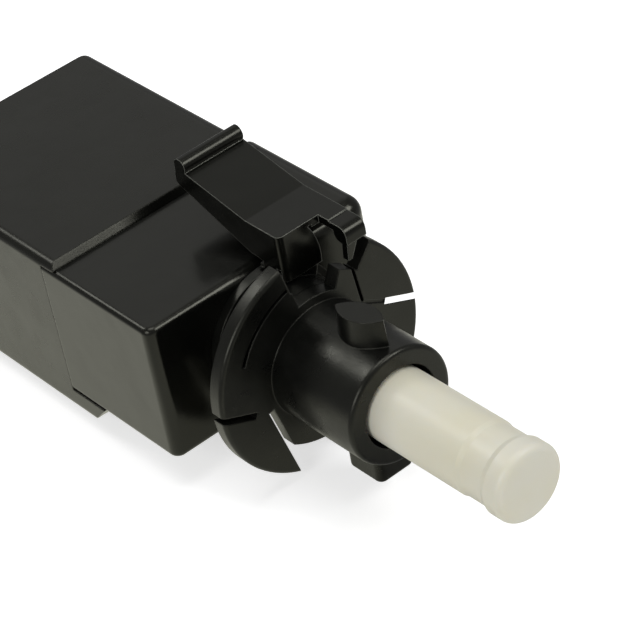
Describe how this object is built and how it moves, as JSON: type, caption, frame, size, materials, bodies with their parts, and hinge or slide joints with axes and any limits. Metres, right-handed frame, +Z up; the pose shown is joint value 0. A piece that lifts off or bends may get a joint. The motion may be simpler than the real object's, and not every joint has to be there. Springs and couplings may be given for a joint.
{
  "type": "brake light switch",
  "caption": "Brake light switch: flat rectangular housing, bayonet barrel with a slotted spring disc, release lever on top, sprung white plunger in front and a connector socket behind.",
  "frame": {"origin": "on the plunger axis, where the barrel leaves the housing's front face", "axes": "+X along the plunger to its tip, +Z up towards the release lever, +Y to the lever's far side"},
  "size_m": [0.0801, 0.0276, 0.0273],
  "materials": {
    "front_housing": "satin black, fine moulded grain",
    "bayonet_barrel": "semi-gloss black",
    "rear_shell": "satin black, fine moulded grain",
    "release_lever": "satin black",
    "contact_carrier": "dark grey, matte",
    "guide_sleeve": "natural, smooth",
    "plunger": "warm off-white, smooth",
    "contact_slider": "light grey, matte",
    "steel": "bright spring steel",
    "tin": "tinned strip",
    "contact": "bare contact strip"
  },
  "bodies": {
    "housing": {"front_housing": "front_housing", "bayonet_barrel": "bayonet_barrel", "rear_shell": "rear_shell", "contact_carrier": "contact_carrier", "guide_sleeve": "guide_sleeve", "return_spring": "steel", "terminal_1": "tin", "terminal_2": "tin", "terminal_3": "tin", "terminal_4": "tin"},
    "pushrod": {"plunger": "plunger", "contact_slider": "contact_slider", "ratchet_clip": "steel", "lamp_wiper": "contact", "cruise_wiper": "contact", "lamp_wiper_rivet": "contact", "cruise_wiper_rivet": "contact"},
    "lever": {"release_lever": "release_lever"}
  },
  "joints": [
    {"name": "plunger_press", "type": "slide", "parent": "housing", "child": "pushrod", "axis": [-1, 0, 0], "range_m": [0, 0.008], "stiffness_N_per_m": 400, "springref_m": -0.006, "deforming": ["return_spring"]},
    {"name": "lever_release", "type": "hinge", "parent": "housing", "child": "lever", "pos_m": [0.0016, 0.0038, 0.0079], "axis": [0, -1, 0], "range_deg": [0, 6], "stiffness_Nm_per_rad": 0.5, "springref_deg": -0.57}
  ]
}
